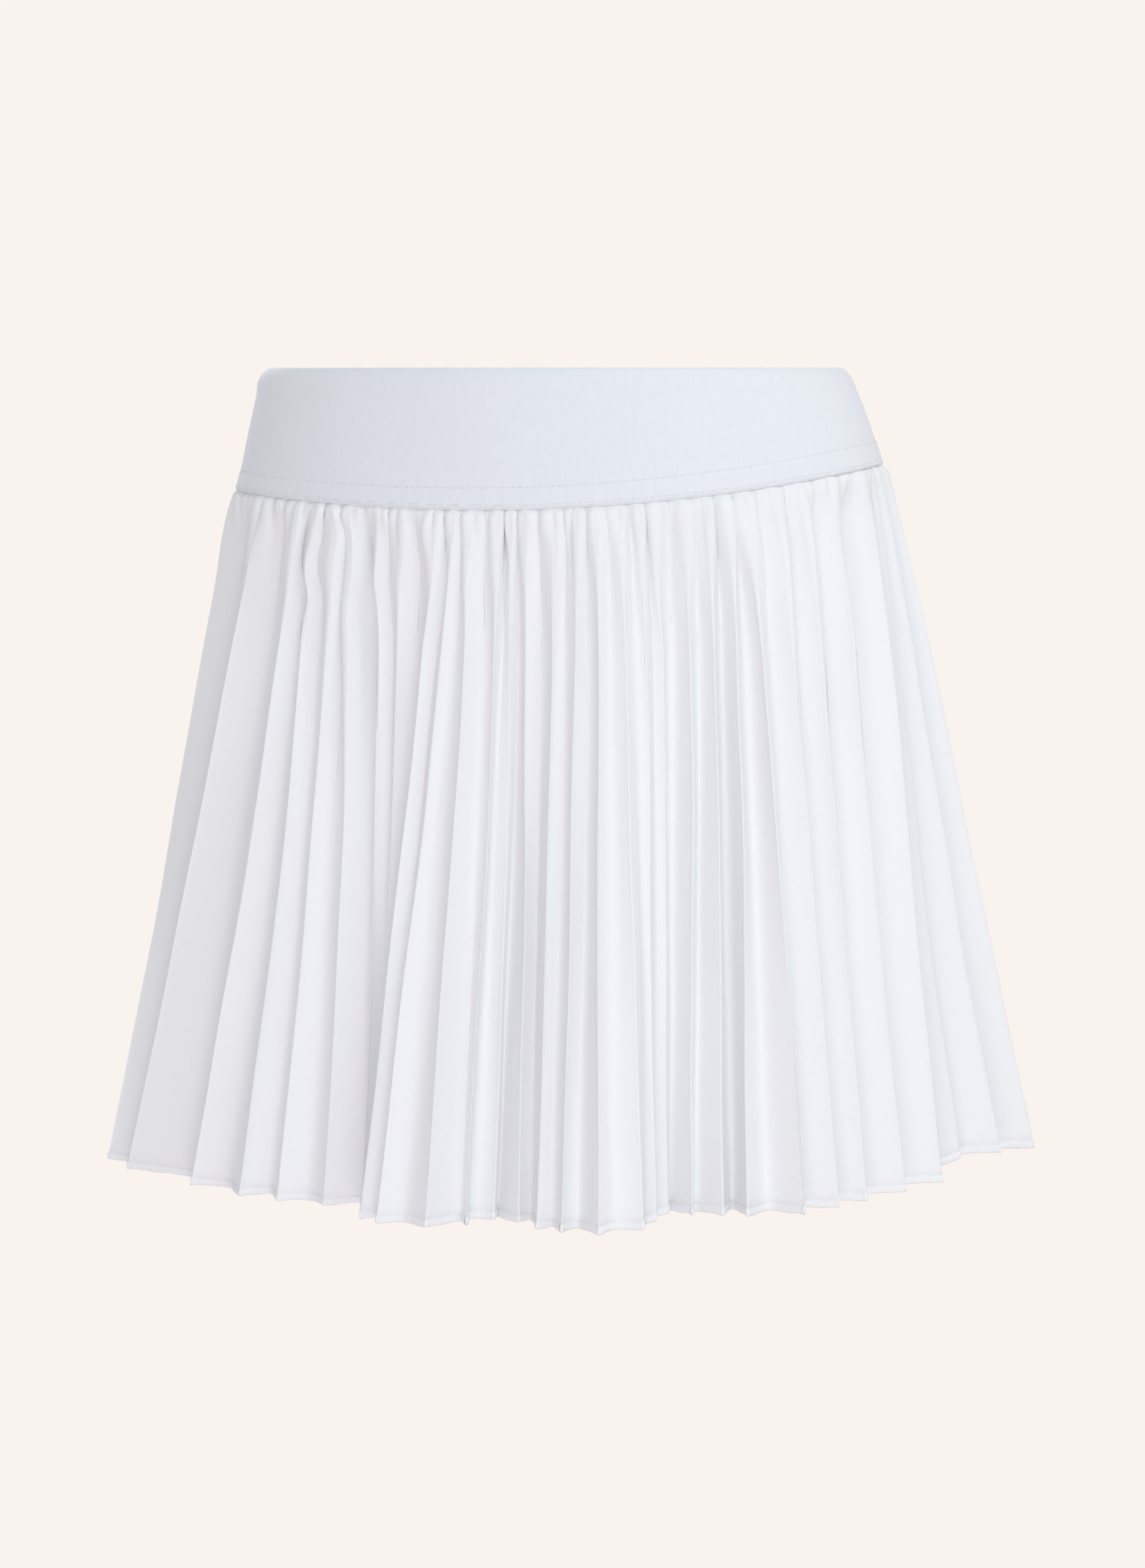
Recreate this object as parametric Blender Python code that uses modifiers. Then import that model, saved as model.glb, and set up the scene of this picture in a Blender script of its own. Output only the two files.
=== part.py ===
"""Pleated tennis skirt, filled out as if it were worn, with its waist and its hem open.

Metres, +Z up.  The front faces -Y.  The origin is the centre of the waist opening, halfway down
the waistband.  Four cut pieces are modelled, each a closed wall of cloth: the front and the back
of the waistband, and the front and the back of the pleated skirt.  They meet at two side seams
and at the waist seam with a narrow gap.

Every horizontal section is an oval drawn in from its diagonals.  The skirt's oval carries the
pleats: each pleat has an outward ridge and, past it, an inward valley.  A table gives the pleats
of the front and of the right side one by one, and a loop adds similar ones round the back.
"""
import bpy
import numpy as np

MM = 0.001

# Heights
RIM_HEIGHT = 0.027            # top edge of the waistband above the origin
BAND_SIDE_DEPTH = 0.0466      # least depth of the waistband, before the tilt
BAND_FRONT_DIP = 0.0115       # how much deeper the waistband is where it dips most, front and back
BAND_DIP_ANGLE = 14.0         # degrees from centre front, to the right, to where it dips most
BAND_TILT = 0.0061            # the waist seam stands this much higher on the right side
HEM_HEIGHT = -0.311           # hem below the origin, level with the skirt's centre
HEM_DIP = 0.004               # how much lower the hem hangs at centre front and centre back
HEM_RISE_X = 0.028            # rise of the hem per metre towards the right side
HEM_RISE_Y = 0.010            # rise of the hem per metre towards the back
HEM_HITCH = 0.005             # how much higher the hem hangs just past the right side
HITCH_PLACES = (246.0, 270.0, 290.0, 345.0)   # mm from centre front along the hem: where the
                                              # hitch starts, is full, starts to fade and ends

# Cloth
BAND_WALL = 0.0022            # two layers of elastic knit
CLOTH_WALL = 0.0012           # pleated woven cloth
SEAM_GAP = 0.0003             # clear space between pieces at the side seams
WAIST_GAP = 0.0008            # the same at the waist seam, measured on the outside of the wall:
                              # the leaning wall's inner edge hangs lower
BAND_GAP = 0.0006             # the same at the waistband's side seams, measured on the outside: the
                              # ends' inner edges lie closer
WAIST_TUCK = 0.003            # how far a valley lies under its ridge where the pleats are sewn in

# Waistband
BAND_STEPS = 30               # flat strips in half the waistband
SIDE_SEAM_ANGLE = 84.0        # degrees from centre front to the waistband's side seams
# share: how far down the waistband, then half widths and half depths in mm
BAND_SECTIONS = (
    # share   left  right  front   back
    (0.00,   130.7, 121.5,  95.5,  95.0),
    (0.06,   134.0, 123.9,  97.5,  97.0),
    (0.25,   136.5, 127.8,  99.5,  99.0),
    (0.55,   140.0, 132.7, 102.5, 102.0),
    (0.84,   142.9, 136.7, 105.6, 104.8),
    (0.86,   143.5, 137.3, 106.2, 105.4),
    (1.00,   145.5, 139.0, 107.4, 106.4),
)

# Skirt
# fall: how far from the waist seam to the hem, then half widths and half depths in mm,
# pull: how far the diagonals are drawn in, spread: how far the pleats have fanned out,
# depth: how deep the pleats are, as a share of their depth at the hem
SKIRT_SECTIONS = (
    # fall   left  right  front   back   pull  spread depth
    (0.00,  144.7, 138.2, 106.6, 105.6, 0.000, 0.00, 0.00),
    (0.05,  149.2, 143.9, 111.0, 109.0, 0.000, 0.03, 0.10),
    (0.15,  154.2, 152.0, 117.0, 114.0, 0.004, 0.13, 0.24),
    (0.35,  164.2, 164.7, 129.0, 125.0, 0.012, 0.33, 0.47),
    (0.60,  176.6, 180.3, 145.0, 139.0, 0.024, 0.59, 0.71),
    (0.82,  188.4, 193.7, 159.0, 153.0, 0.034, 0.82, 0.88),
    (1.00,  199.7, 205.0, 170.0, 165.0, 0.042, 1.00, 1.00),
)

# Pleats of the front and the right side, in mm.  waist and hem say where the ridge stands along
# the waist seam and along the hem, from centre front, with the right side positive.  lift is the
# ridge's height over the hem's oval.  valley and sink give the same for the valley past it.
PLEATS = (
    # waist  hem  lift valley sink
    (-155, -228,   6, -217,  -4),
    (-115, -204,   0, -173, -18),
    ( -86, -156, -14, -144, -22),
    ( -76, -121, -20, -119, -31),
    ( -68, -101, -27,  -94, -35),
    ( -58,  -76, -34,  -62, -43),
    ( -44,  -57, -41,  -54, -50),
    ( -33,  -50, -42,  -46, -50),
    ( -17,  -41, -22,  -34, -28),
    (  -8,  -29, -18,  -17, -24),
    (   0,   -2, -15,    8, -32),
    (  11,   14, -24,   10, -42),
    (  16,   24, -40,   23, -50),
    (  22,   38, -30,   43, -40),
    (  34,   48, -14,   54, -20),
    (  43,   59,  -6,   66, -17),
    (  51,   74,   1,   80,  -8),
    (  60,   92,  -3,   95, -16),
    (  68,  100, -19,  102, -30),
    (  75,  108, -31,  110, -40),
    (  86,  118, -25,  121, -33),
    (  95,  130, -18,  138, -28),
    ( 104,  138, -11,  150, -16),
    ( 111,  160,  -2,  161, -12),
    ( 124,  177,  -6,  179, -16),
    ( 137,  193, -10,  196, -20),
    ( 153,  216, -13,  219, -24),
    ( 180,  242, -15,  246, -34),
    ( 187,  272, -22,  278, -30),
    ( 194,  292, -10,  300, -20),
    ( 205,  318,   2,  326, -10),
)
RIGHT_SEAM_PLEAT = 28         # the right side seam runs up the face of this row of PLEATS
BACK_PLEATS = 30              # pleats between the last row of PLEATS and the first
LEFT_SEAM_FROM_END = 2        # the left side seam runs up the face of this back pleat

WHITE_KNIT = (0.82, 0.84, 0.90)
WHITE_WEAVE = (0.90, 0.90, 0.90)


def remove_all_objects():
    for item in list(bpy.data.objects):
        bpy.data.objects.remove(item, do_unlink=True)


def new_material(name, colour, roughness):
    material = bpy.data.materials.new(name)
    material.use_nodes = True
    shader = material.node_tree.nodes["Principled BSDF"]
    shader.inputs["Base Color"].default_value = (*colour, 1.0)
    shader.inputs["Roughness"].default_value = roughness
    shader.inputs["Metallic"].default_value = 0.0
    return material


def oval(angle, left, right, front, back, pull):
    """Points of an oval section, angle 0 at centre front and 90 degrees on the right side.

    An ellipse with its own size on each side, times 1 - pull * sin(2 angle) squared.
    """
    half_width = np.where(np.sin(angle) > 0, right, left)
    half_depth = np.where(np.cos(angle) > 0, front, back)
    draw_in = 1.0 - pull * np.sin(2.0 * angle) ** 2
    x = half_width * np.sin(angle) * draw_in
    y = -half_depth * np.cos(angle) * draw_in
    return np.stack([x, y], axis=-1)


def outward(angle, sizes):
    """Unit normals of the oval, pointing out of the skirt."""
    step = 1e-4
    along = oval(angle + step, *sizes) - oval(angle - step, *sizes)
    normal = np.stack([along[..., 1], -along[..., 0]], axis=-1)
    return normal / np.linalg.norm(normal, axis=-1, keepdims=True)


def angles_at(distances, sizes):
    """Angles at which the given distances along the oval from centre front lie."""
    angle = np.radians(np.arange(-180.0, 360.5, 0.5))
    points = oval(angle, *sizes)
    run = np.concatenate([[0.0], np.cumsum(np.linalg.norm(np.diff(points, axis=0), axis=1))])
    run -= np.interp(0.0, angle, run)
    return np.interp(distances, run, angle)


def girth(sizes):
    points = oval(np.radians(np.arange(0.0, 360.5, 0.5)), *sizes)
    return np.linalg.norm(np.diff(points, axis=0), axis=1).sum()


def band_bottom(angle):
    """Height of the waist seam."""
    dip = np.cos(angle - np.radians(BAND_DIP_ANGLE)) ** 2
    depth = BAND_SIDE_DEPTH + BAND_FRONT_DIP * dip - BAND_TILT * np.sin(angle)
    return RIM_HEIGHT - depth


def ease(value, start, end):
    """0 before start, 1 past end, and a smooth S between them."""
    step = np.clip((value - start) / (end - start), 0.0, 1.0)
    return step * step * (3.0 - 2.0 * step)


def hem_height(angle, place, point):
    start, full, fade, gone = HITCH_PLACES
    hitch = HEM_HITCH * ease(place, start, full) * (1.0 - ease(place, fade, gone))
    rise = HEM_RISE_X * point[..., 0] + HEM_RISE_Y * point[..., 1] + hitch
    return HEM_HEIGHT - HEM_DIP * np.cos(angle) ** 2 + rise


def all_pleats():
    """The charted pleats and then the back's, as rows like those of PLEATS, in order round.

    Back pleats share the rest of the girth evenly, then shift, rise and sink by slow waves, so
    that no two are quite alike.
    """
    waist_girth = girth(SKIRT_SECTIONS[0][1:6])
    hem_girth = girth(SKIRT_SECTIONS[-1][1:6])
    first, last = PLEATS[0], PLEATS[-1]
    waist_pitch = (first[0] + waist_girth - last[0]) / (BACK_PLEATS + 1)
    hem_pitch = (first[1] + hem_girth - last[1]) / (BACK_PLEATS + 1)
    rows = list(PLEATS)
    for number in range(1, BACK_PLEATS + 1):
        edge = np.sin(np.pi * number / (BACK_PLEATS + 1))
        shift = 2.6 * edge * np.sin(2.1 * number)
        swell = 7.0 * edge * np.sin(0.62 * number + 0.8)
        ridge = last[1] + hem_pitch * number + shift
        lift = -7.0 + swell + 3.0 * np.sin(1.7 * number)
        valley = ridge + 4.5 + 2.5 * np.cos(2.9 * number)
        sink = lift - 13.0 - 3.0 * np.cos(1.3 * number)
        rows.append((last[0] + waist_pitch * number, ridge, lift, valley, sink))
    return rows, waist_girth


def fold_lines():
    """For each fold, ridge and valley by turns: place at the waist, place at the hem, the two
    heights over the oval there.  Each valley is sewn in halfway to the next ridge."""
    rows, waist_girth = all_pleats()
    waists = [row[0] for row in rows] + [rows[0][0] + waist_girth]
    folds = []
    for number, (waist, hem, lift, valley, sink) in enumerate(rows):
        folds.append((waist, hem, 0.0, lift))
        folds.append((0.5 * (waist + waists[number + 1]), valley, -WAIST_TUCK / MM, sink))
    return np.array(folds)


def skirt_surface():
    """Grid of points, one row of points per section and one column per fold, in order round."""
    folds = fold_lines()
    waist_angle = angles_at(folds[:, 0], SKIRT_SECTIONS[0][1:6])
    hem_angle = angles_at(folds[:, 1], SKIRT_SECTIONS[-1][1:6])
    rings = []
    for fall, left, right, front, back, pull, spread, depth in SKIRT_SECTIONS:
        sizes = (left * MM, right * MM, front * MM, back * MM, pull)
        angle = waist_angle + (hem_angle - waist_angle) * spread
        height = (folds[:, 2] + (folds[:, 3] - folds[:, 2]) * depth) * MM
        plan = oval(angle, *sizes) + outward(angle, sizes) * height[:, None]
        top = band_bottom(angle) - WAIST_GAP
        z = top + (hem_height(angle, folds[:, 1], plan) - top) * fall
        rings.append(np.column_stack([plan, z]))
    return np.array(rings)


def split_at_side_seams(rings):
    """Front and back grids.  Each side seam runs up the middle of a pleat's face, where both
    pieces stop half a seam gap short of it."""
    right_ridge = 2 * RIGHT_SEAM_PLEAT
    left_ridge = 2 * (len(PLEATS) + BACK_PLEATS - LEFT_SEAM_FROM_END)
    cuts = {}
    for name, ridge in (("right", right_ridge), ("left", left_ridge)):
        start, end = rings[:, ridge - 1], rings[:, ridge]
        middle = 0.5 * (start + end)
        along = (end - start) / np.linalg.norm(end - start, axis=1, keepdims=True)
        cuts[name] = (middle - along * SEAM_GAP / 2, middle + along * SEAM_GAP / 2)
    front = np.concatenate([
        cuts["left"][1][:, None], rings[:, left_ridge:], rings[:, :right_ridge],
        cuts["right"][0][:, None]], axis=1)
    back = np.concatenate([
        cuts["right"][1][:, None], rings[:, right_ridge:left_ridge],
        cuts["left"][0][:, None]], axis=1)
    return front, back


def band_surface(start, end):
    """Grid of points of the waistband's outside between two angles, top row first."""
    inset = 0.5 * BAND_GAP / (BAND_SECTIONS[0][3] * MM)
    angle = np.linspace(start + inset, end - inset, BAND_STEPS + 1)
    rings = []
    for share, left, right, front, back in BAND_SECTIONS:
        plan = oval(angle, left * MM, right * MM, front * MM, back * MM, 0.0)
        z = RIM_HEIGHT + (band_bottom(angle) - RIM_HEIGHT) * share
        rings.append(np.column_stack([plan, z]))
    return np.array(rings)


def add_shell(name, grid, wall, material, collection):
    """A wall of cloth: the grid's surface, thickened inwards by a Solidify modifier."""
    rows, columns = grid.shape[:2]
    index = np.arange(rows * columns).reshape(rows, columns)
    faces = np.stack([index[:-1, :-1], index[1:, :-1], index[1:, 1:], index[:-1, 1:]], axis=-1)
    mesh = bpy.data.meshes.new(name)
    mesh.from_pydata(grid.reshape(-1, 3).tolist(), [], faces.reshape(-1, 4).tolist())
    mesh.materials.append(material)
    mesh.update()
    shell = bpy.data.objects.new(name, mesh)
    collection.objects.link(shell)
    solidify = shell.modifiers.new("wall", "SOLIDIFY")
    solidify.thickness = wall
    solidify.offset = -1.0
    solidify.use_even_offset = True
    solidify.use_quality_normals = True
    triangulate = shell.modifiers.new("triangles", "TRIANGULATE")
    triangulate.quad_method = "SHORTEST_DIAGONAL"
    return shell


def main():
    remove_all_objects()
    collection = bpy.data.collections.new("tennis_skirt")
    bpy.context.scene.collection.children.link(collection)
    knit = new_material("elastic_knit", WHITE_KNIT, 0.75)
    weave = new_material("pleated_weave", WHITE_WEAVE, 0.80)

    seam = np.radians(SIDE_SEAM_ANGLE)
    add_shell("waistband_front", band_surface(-seam, seam), BAND_WALL, knit, collection)
    back_band = band_surface(seam, 2.0 * np.pi - seam)
    add_shell("waistband_back", back_band, BAND_WALL, knit, collection)

    front, back = split_at_side_seams(skirt_surface())
    add_shell("skirt_front", front, CLOTH_WALL, weave, collection)
    add_shell("skirt_back", back, CLOTH_WALL, weave, collection)


main()
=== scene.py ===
"""Looks of a white pleated tennis skirt: waistband, pleats, stitches, overlocked hem and stage.

The skirt is filled out as if it were worn.  Front is -Y and the waist is at the origin.
"""

import bpy
import numpy as np
from bpy.props import FloatProperty, FloatVectorProperty, IntProperty, PointerProperty
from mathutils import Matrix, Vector


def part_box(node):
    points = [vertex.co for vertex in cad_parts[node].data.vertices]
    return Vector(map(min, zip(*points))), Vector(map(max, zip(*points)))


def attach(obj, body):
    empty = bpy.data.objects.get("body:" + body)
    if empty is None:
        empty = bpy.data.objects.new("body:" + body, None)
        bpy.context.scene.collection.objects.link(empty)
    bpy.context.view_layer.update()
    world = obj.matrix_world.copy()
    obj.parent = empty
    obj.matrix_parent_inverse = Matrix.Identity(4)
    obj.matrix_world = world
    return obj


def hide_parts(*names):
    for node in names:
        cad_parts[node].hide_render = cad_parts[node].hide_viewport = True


bl_info = {
    "name": "Pleated Tennis Skirt",
    "version": (1, 0, 0),
    "blender": (4, 5, 0),
    "location": "3D View > Sidebar > Skirt",
    "description": "Builds a pleated tennis skirt around its frame",
    "category": "Add Mesh",
}

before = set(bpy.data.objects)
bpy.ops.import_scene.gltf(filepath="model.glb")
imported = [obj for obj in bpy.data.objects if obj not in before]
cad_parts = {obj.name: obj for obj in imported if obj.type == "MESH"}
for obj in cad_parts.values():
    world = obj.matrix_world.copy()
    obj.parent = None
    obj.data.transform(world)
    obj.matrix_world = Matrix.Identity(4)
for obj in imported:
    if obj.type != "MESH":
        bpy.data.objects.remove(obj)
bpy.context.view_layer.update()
RIM_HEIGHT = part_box("waistband_front")[1].z
MM = 0.001

# ---------------- sizes of the skirt

BAND_SIDE_DEPTH = 0.0466      # least depth of the waistband, before the tilt
BAND_FRONT_DIP = 0.0115       # how much deeper the waistband is where it dips most, front and back
BAND_DIP_ANGLE = 14.0         # degrees from centre front, to the right, to where it dips most
BAND_TILT = 0.0061            # the waist seam stands this much higher on the right side
TURN_ROWS = 7                 # rows of points round the rim, and round the lower edge
INSIDE_ROWS = 26              # rows of points on the waistband's inside
BAND_RADIUS = 0.125           # mean radius of the waistband, for distances round it
WAIST_SEAM_GIRTH = 0.79
EDGE_STITCH_HEIGHT = 0.0019   # how far above the waist seam the lower line of topstitches runs
SIDE_SEAM_ANGLE = 84.0        # degrees from centre front to the waistband's side seams
HEM_HEIGHT = -0.311           # level with the skirt's centre
HEM_DIP = 0.004               # how much lower the hem hangs at centre front and centre back
HEM_RISE_X = 0.028            # rise of the hem per metre towards the right side
HEM_RISE_Y = 0.010            # rise of the hem per metre towards the back
HEM_HITCH = 0.005             # how much higher the hem hangs just past the right side
HITCH_PLACES = (246.0, 270.0, 290.0, 345.0)   # mm along the hem: where the hitch starts, is
                                              # full, starts to fade and ends
SKIRT_LENGTH = 0.280          # mean length from the waist seam to the hem
WAIST_TUCK = 0.003            # how far a valley lies under its ridge at the waist seam
EDGE_BEAD = 0.45              # half width in mm of the bead along a pleat's pressed edge

# share: how far down the waistband, then half widths and half depths in mm
BAND_SECTIONS = (
    # share   left  right  front   back
    (0.00,   130.7, 121.5,  95.5,  95.0),
    (0.06,   134.0, 123.9,  97.5,  97.0),
    (0.25,   136.5, 127.8,  99.5,  99.0),
    (0.55,   140.0, 132.7, 102.5, 102.0),
    (0.84,   143.1, 136.9, 105.8, 105.0),
    (1.00,   145.5, 139.0, 107.4, 106.4),
)

# fall: how far from the waist seam to the hem, then half widths and half depths in mm,
# pull: how far the diagonals are drawn in, spread: how far the pleats have fanned out,
# depth: how deep the pleats are, as a share of their depth at the hem
SKIRT_SECTIONS = (
    # fall   left  right  front   back   pull  spread depth
    (0.00,  144.7, 138.2, 106.6, 105.6, 0.000, 0.00, 0.00),
    (0.05,  149.2, 143.9, 111.0, 109.0, 0.000, 0.03, 0.10),
    (0.15,  154.2, 152.0, 117.0, 114.0, 0.004, 0.13, 0.24),
    (0.35,  164.2, 164.7, 129.0, 125.0, 0.012, 0.33, 0.47),
    (0.60,  176.6, 180.3, 145.0, 139.0, 0.024, 0.59, 0.71),
    (0.82,  188.4, 193.7, 159.0, 153.0, 0.034, 0.82, 0.88),
    (1.00,  199.7, 205.0, 170.0, 165.0, 0.042, 1.00, 1.00),
)

# Pleats of the front and the right side, in mm.  waist and hem say where the ridge stands along
# the waist seam and along the hem, from centre front, with the right side positive.  lift is the
# ridge's height over the hem's oval.  valley and sink give the same for the valley past it.
PLEATS = (
    # waist  hem  lift valley sink
    (-155, -228,   6, -217,  -4),
    (-115, -204,   0, -173, -22),
    ( -86, -156, -14, -144, -27),
    ( -76, -121, -20, -119, -35),
    ( -68, -101, -27,  -94, -39),
    ( -58,  -76, -34,  -64, -50),
    ( -44,  -57, -40,  -54, -47),
    ( -33,  -50, -40,  -46, -47),
    ( -17,  -41, -22,  -34, -28),
    (  -8,  -29, -18,  -17, -24),
    (   0,   -2, -15,    8, -32),
    (  11,   14, -24,   10, -37),
    (  16,   24, -35,   23, -42),
    (  22,   38, -28,   43, -35),
    (  34,   48, -14,   54, -20),
    (  43,   59,  -6,   66, -17),
    (  51,   74,   1,   80,  -8),
    (  60,   92,  -3,   95, -16),
    (  68,  100, -19,  102, -30),
    (  75,  108, -31,  110, -40),
    (  86,  118, -25,  121, -33),
    (  95,  130, -18,  138, -31),
    ( 104,  138, -11,  150, -20),
    ( 111,  160,  -2,  161, -17),
    ( 124,  177,  -6,  179, -21),
    ( 137,  193, -10,  196, -25),
    ( 153,  216, -13,  219, -28),
    ( 180,  242, -15,  246, -34),
    ( 187,  272, -22,  278, -30),
    ( 194,  292, -10,  300, -20),
    ( 205,  318,   2,  326, -10),
)
RIGHT_SEAM_PLEAT = 28         # the right side seam runs up the face of this row of PLEATS
BACK_PLEATS = 30              # pleats between the last row of PLEATS and the first
LEFT_SEAM_FROM_END = 2        # the left side seam runs up the face of this back pleat

# Soft bulges and dents pressed into the cloth, all sizes in mm.  place is along the waist seam
# from centre front, drop is below the seam, wide and long are its reach, lean is how far it runs
# sideways for each mm down, and push is its height, outwards positive.
CREASES = (
    # place drop wide long  lean push
    ( -98,  34,  11,  34, -0.20,  1.8),
    ( -80,  36,   4,  20,  0.22, -2.2),
    ( -72,  20,   4,  14,  0.10,  1.4),
    ( -60,  52,   8,  40,  0.05,  2.4),
    ( -50,  56,   5,  60, -0.02, -3.4),
    ( -38,  14,   4,  12,  0.10,  1.3),
    ( -23,  16,   5,  12, -0.35,  1.8),
    ( -12,  30,   4,  26, -0.10, -1.2),
    (  14,  18,   4,  14,  0.15, -1.2),
    (  30,  22,   5,  24,  0.00,  1.2),
    (  66,  14,   5,  12,  0.20, -1.3),
    (  90,  26,   4,  22,  0.12,  1.2),
    ( 118,  34,   9,  40,  0.30,  1.8),
    ( 146,  50,  10,  46,  0.25,  1.5),
    ( 168,  30,   7,  30,  0.20, -1.4),
    ( 236,  34,   9,  34,  0.18,  1.8),
    ( 275,  22,   5,  20, -0.20, -1.8),
    ( 318,  46,   9,  40,  0.08,  2.0),
    ( 366,  28,   6,  26, -0.12, -1.8),
    ( 410,  40,   9,  38,  0.10,  1.8),
    ( 452,  20,   5,  16,  0.25,  1.4),
    ( 500,  44,   8,  36, -0.15, -1.6),
    ( 548,  30,   8,  30,  0.15,  1.8),
    ( 590,  26,   6,  24, -0.20,  1.5),
)

# Where pleats sway sideways.  row is the pleat's place in PLEATS, drop is below the waist seam,
# reach is how far up and down the sway spreads and shift is to the right, all in mm.
SWAYS = (
    # row drop reach shift
    ( 1,  40,  45,  1.5),
    ( 3,  20,  60, -2.4),
    ( 3,  25,   9, -1.8),
    ( 3,  39,   8,  1.3),
    ( 4,  40,  70,  2.2),
    ( 4,  14,   8,  1.6),
    ( 5,  22,  12,  1.4),
    ( 5,  44,  12, -1.5),
    ( 6,  30,  14, -1.6),
    ( 7,  18,   9,  1.3),
    ( 8,  30,  16,  1.2),
    (10,  26,  14, -1.0),
    (14,  20,  12,  0.9),
    (19,  34,  16, -1.0),
    (24,  26,  14,  1.0),
)

# Where the waist seam nips the cloth in between gathers, in mm from centre front.
NIPS = (
    -166, -158, -150, -141, -131, -124, -115, -106, -97, -89, -84, -78, -71, -63, -56, -51, -46,
    -42, -38, -34, -28, -21, -17, -12, -6, 1, 7, 14, 19, 28, 34, 38, 42, 48, 53, 60, 65, 71, 77,
    83, 89, 94, 99, 106, 111, 116, 122, 129, 135, 140, 146, 153, 161, 171, 181, 189)
BACK_NIP_PITCH = 7.6          # about how far apart the nips of the back are, in mm

LIGHT_DISTANCE = 2.3          # from each light to the middle of the skirt
LIGHT_SIZE = 1.3


# ---------------- settings


def a_length(name, description, default, **limits):
    return FloatProperty(
        name=name, description=description, default=default, unit="LENGTH", **limits)


def a_number(name, description, default):
    return FloatProperty(name=name, description=description, default=default)


def a_colour(name, description, default):
    return FloatVectorProperty(
        name=name, description=description, default=default, subtype="COLOR", size=3, min=0.0,
        max=1.0)


class BandSettings(bpy.types.PropertyGroup):
    wall: a_length("Wall", "Thickness of the double knit", 0.0021, min=0.001)
    strip: a_length("Strip", "Height of the stitched strip at the lower edge", 0.0088)
    stitch: a_length("Stitch", "Length from one topstitch to the next", 0.0025)
    thread: a_length("Thread", "Thickness of the stitching thread", 0.00042)
    colour: a_colour("Knit", "Colour of the elastic knit", (0.80, 0.825, 0.885))


class PleatSettings(bpy.types.PropertyGroup):
    wall: a_length("Cloth", "Thickness of the pleated cloth", 0.0006, min=0.0002)
    crease: a_length("Crease", "Radius to which the pleats are pressed", 0.0013)
    trough: a_length("Trough", "Radius to which the cloth is rounded between two pleats", 0.009)
    edge: a_length("Edge", "How far the pressed edge of a pleat stands proud", 0.00032)
    bow: a_length("Bow", "How far the cloth bows between two creases", 0.0008)
    puff: a_length("Puff", "How far the cloth puffs out under the waist seam", 0.0007)
    gather: a_length("Gather", "Height of the small gathers under the waist seam", 0.0019)
    swell: a_length("Swell", "How far the cloth stands out just under the waistband", 0.0012)
    rows: IntProperty(
        name="Rows", description="Rows of faces from the waist seam to the hem", default=80,
        min=20, max=200)
    colour: a_colour("Weave", "Colour of the pleated cloth", (0.876, 0.885, 0.907))


class HemSettings(bpy.types.PropertyGroup):
    height: a_length("Height", "Height of the overlocked edge", 0.0028)
    pitch: a_length("Pitch", "Distance between overlock threads", 0.00105)
    colour: a_colour("Thread", "Colour of the sewing thread", (0.93, 0.94, 0.965))


class StageSettings(bpy.types.PropertyGroup):
    azimuth: a_number("Azimuth", "Where the camera stands round the skirt, in degrees", 20.0)
    distance: a_length("Distance", "From the camera to the skirt's axis", 1.85)
    pitch: a_number("Pitch", "How far the camera looks down, in degrees", 5.52)
    aside: a_length("Aside", "How far the camera stands to the right of the axis", 0.0042)
    lens: a_number("Lens", "Focal length in mm on a 36 mm frame", 98.96)
    backdrop: a_colour("Backdrop", "Colour of the floor and the backdrop", (0.956, 0.896, 0.847))
    ambient: a_number("Ambient", "Brightness of the light from all round", 0.62)
    key: a_number("Key", "Power of the high light on the right, in watts", 14.0)
    side: a_number("Side", "Power of the light beside the skirt, in watts", 9.0)
    low_front: a_number("Low Front", "Power of the light from low in front, in watts", 14.0)
    low_left: a_number("Low Left", "Power of the light from low on the left, in watts", 1.5)
    behind: a_number("Behind", "Power of the light behind the skirt, in watts", 14.0)


# ---------------- form of the skirt


def oval(angle, left, right, front, back, pull):
    """Points of an oval section, angle 0 at centre front and 90 degrees on the right side.

    An ellipse with its own size on each side, times 1 - pull * sin(2 angle) squared.
    """
    half_width = np.where(np.sin(angle) > 0, right, left)
    half_depth = np.where(np.cos(angle) > 0, front, back)
    draw_in = 1.0 - pull * np.sin(2.0 * angle) ** 2
    x = half_width * np.sin(angle) * draw_in
    y = -half_depth * np.cos(angle) * draw_in
    return np.stack([x, y], axis=-1)


def unit(vector):
    """The vector at length 1, and its length."""
    length = np.linalg.norm(vector, axis=-1, keepdims=True)
    return vector / length, length


def outward(angle, *sizes):
    """Unit normals of the oval: its tangent, turned a quarter turn outwards."""
    step = 1e-3
    along = oval(angle + step, *sizes) - oval(angle - step, *sizes)
    return unit(np.stack([along[..., 1], -along[..., 0]], axis=-1))[0]


def stacked(*columns):
    """Coordinates spread over one common grid and put side by side."""
    return np.stack(np.broadcast_arrays(*columns), axis=-1)


def run_along(points):
    """Distance from the first point of a line to each of its points, by adding up its steps."""
    steps = np.linalg.norm(np.diff(points, axis=0), axis=1)
    return np.concatenate([[0.0], np.cumsum(steps)])


def run_of(angle, sizes):
    """Distance round the oval from centre front to each angle, by adding up short chords."""
    run = run_along(oval(angle, *sizes))
    return run - np.interp(0.0, angle, run)


def angles_at(distances, sizes):
    """Angles at which the given distances along the oval from centre front lie."""
    angle = np.radians(np.arange(-180.0, 360.5, 0.5))
    return np.interp(distances, run_of(angle, sizes), angle)


def girth(sizes):
    """Distance once round the oval."""
    angle = np.radians(np.arange(0.0, 360.5, 0.5))
    return run_of(angle, sizes)[-1]


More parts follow.
